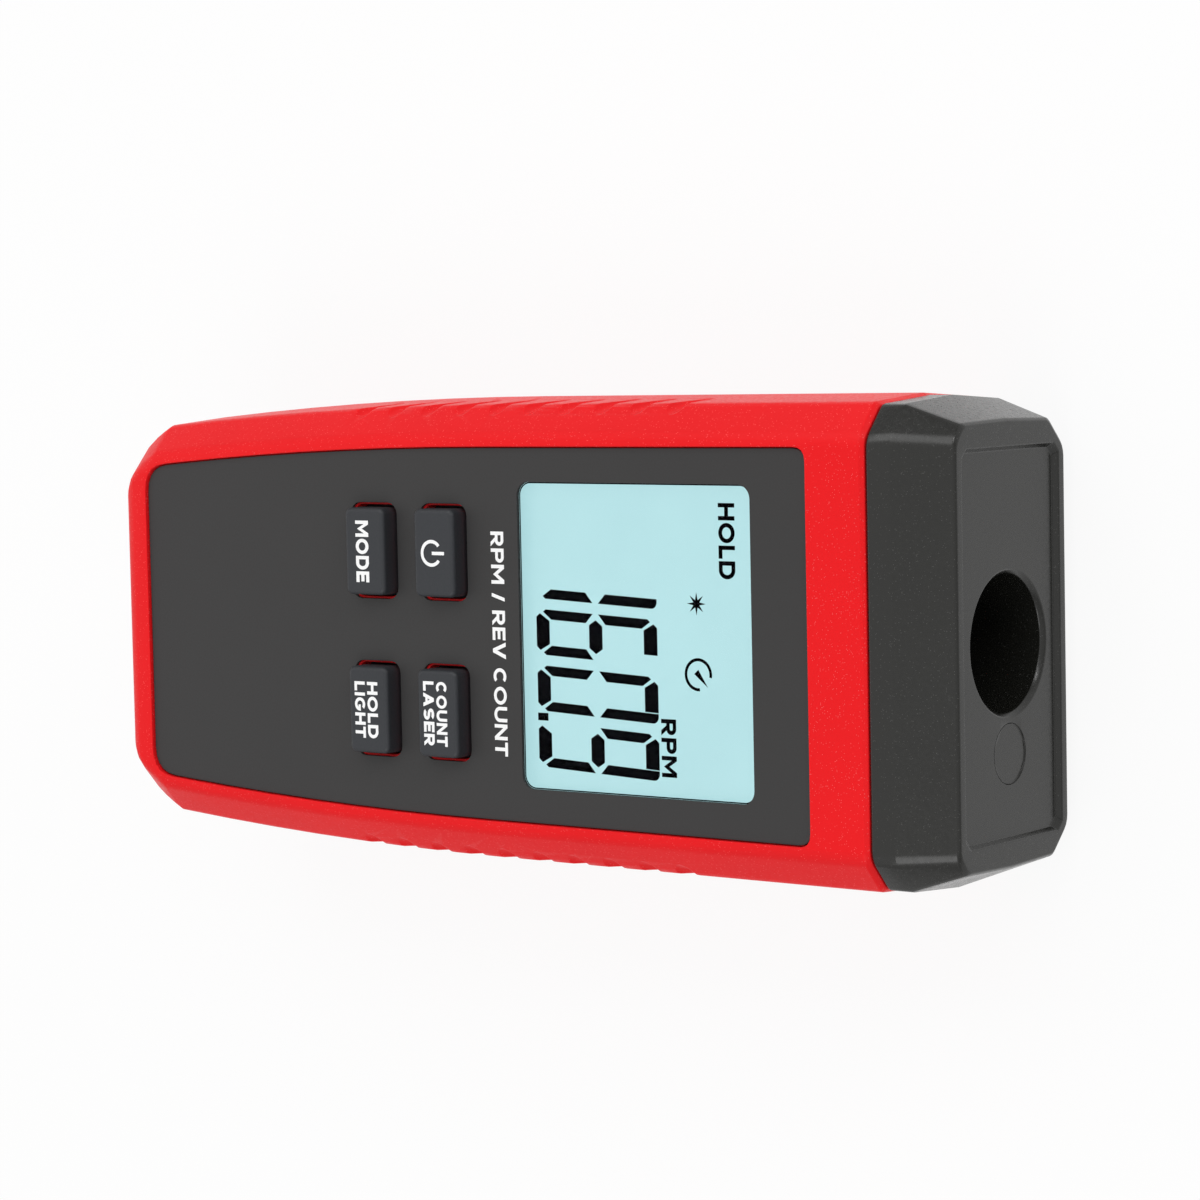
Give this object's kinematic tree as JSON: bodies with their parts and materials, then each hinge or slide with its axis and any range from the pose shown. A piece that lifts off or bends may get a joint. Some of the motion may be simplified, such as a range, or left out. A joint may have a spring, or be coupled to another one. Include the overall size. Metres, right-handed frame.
{
  "type": "laser tachometer",
  "caption": "Handheld laser tachometer with a tapered two-shell body, display window, soft keys, a round sensor bore in the end cap and a sliding battery cover.",
  "frame": {"origin": "middle of the back, under the middle of the body's length", "axes": "+X from the tail to the sensor end, +Y across the body, +Z out of the display"},
  "size_m": [0.1216, 0.0556, 0.0301],
  "materials": {
    "red_plastic": "satin moulded plastic with a fine grain",
    "cap_plastic": "spark-textured moulded plastic",
    "plate_plastic": "matte plate",
    "clear_window": "clear, polished",
    "display_glass": "pale backlit display",
    "white_plastic": "milky light guide",
    "pink_rubber": "layered conductive rubber",
    "circuit_board": "green solder mask",
    "black_plastic": "black moulded plastic",
    "key_rubber": "soft silicone",
    "carbon_rubber": "conductive rubber",
    "brass": "turned",
    "lens": "polished lens",
    "cell_jacket": "plain printed jacket",
    "spring_steel": "nickel-plated",
    "screw_steel": "dark zinc"
  },
  "bodies": {
    "housing": {"front_shell": "red_plastic", "rear_shell": "red_plastic", "sensor_cap": "cap_plastic", "face_plate": "plate_plastic", "display_window": "clear_window", "lcd_glass": "display_glass", "lcd_backlight": "white_plastic", "connector_strip": "pink_rubber", "main_board": "circuit_board", "sensor_board": "circuit_board", "processor_chip": "black_plastic", "keypad_web": "key_rubber", "sensor_holder": "black_plastic", "laser_module": "brass", "laser_lens": "lens", "receiver_lens": "lens", "photodiode": "black_plastic", "board_header": "black_plastic", "battery_1": "cell_jacket", "battery_2": "cell_jacket", "battery_3": "cell_jacket", "battery_spring_1": "spring_steel", "battery_spring_2": "spring_steel", "battery_spring_3": "spring_steel", "tail_contacts": "spring_steel", "head_contacts": "spring_steel", "case_screws": "screw_steel", "board_screws": "screw_steel"},
    "power_key": {"power_key": "key_rubber", "power_key_pill": "carbon_rubber"},
    "mode_key": {"mode_key": "key_rubber", "mode_key_pill": "carbon_rubber"},
    "hold_key": {"hold_key": "key_rubber", "hold_key_pill": "carbon_rubber"},
    "laser_key": {"laser_key": "key_rubber", "laser_key_pill": "carbon_rubber"},
    "battery_cover": {"battery_cover": "red_plastic"}
  },
  "joints": [
    {"name": "power_key_press", "type": "slide", "parent": "housing", "child": "power_key", "axis": [0, 0, -1], "range_m": [0, 0.0008], "stiffness_N_per_m": 800},
    {"name": "mode_key_press", "type": "slide", "parent": "housing", "child": "mode_key", "axis": [0, 0, -1], "range_m": [0, 0.0008], "stiffness_N_per_m": 800},
    {"name": "hold_key_press", "type": "slide", "parent": "housing", "child": "hold_key", "axis": [0, 0, -1], "range_m": [0, 0.0008], "stiffness_N_per_m": 800},
    {"name": "laser_key_press", "type": "slide", "parent": "housing", "child": "laser_key", "axis": [0, 0, -1], "range_m": [0, 0.0008], "stiffness_N_per_m": 800},
    {"name": "battery_cover_slide", "type": "slide", "parent": "housing", "child": "battery_cover", "axis": [-1, 0, 0], "range_m": [0, 0.06]}
  ]
}
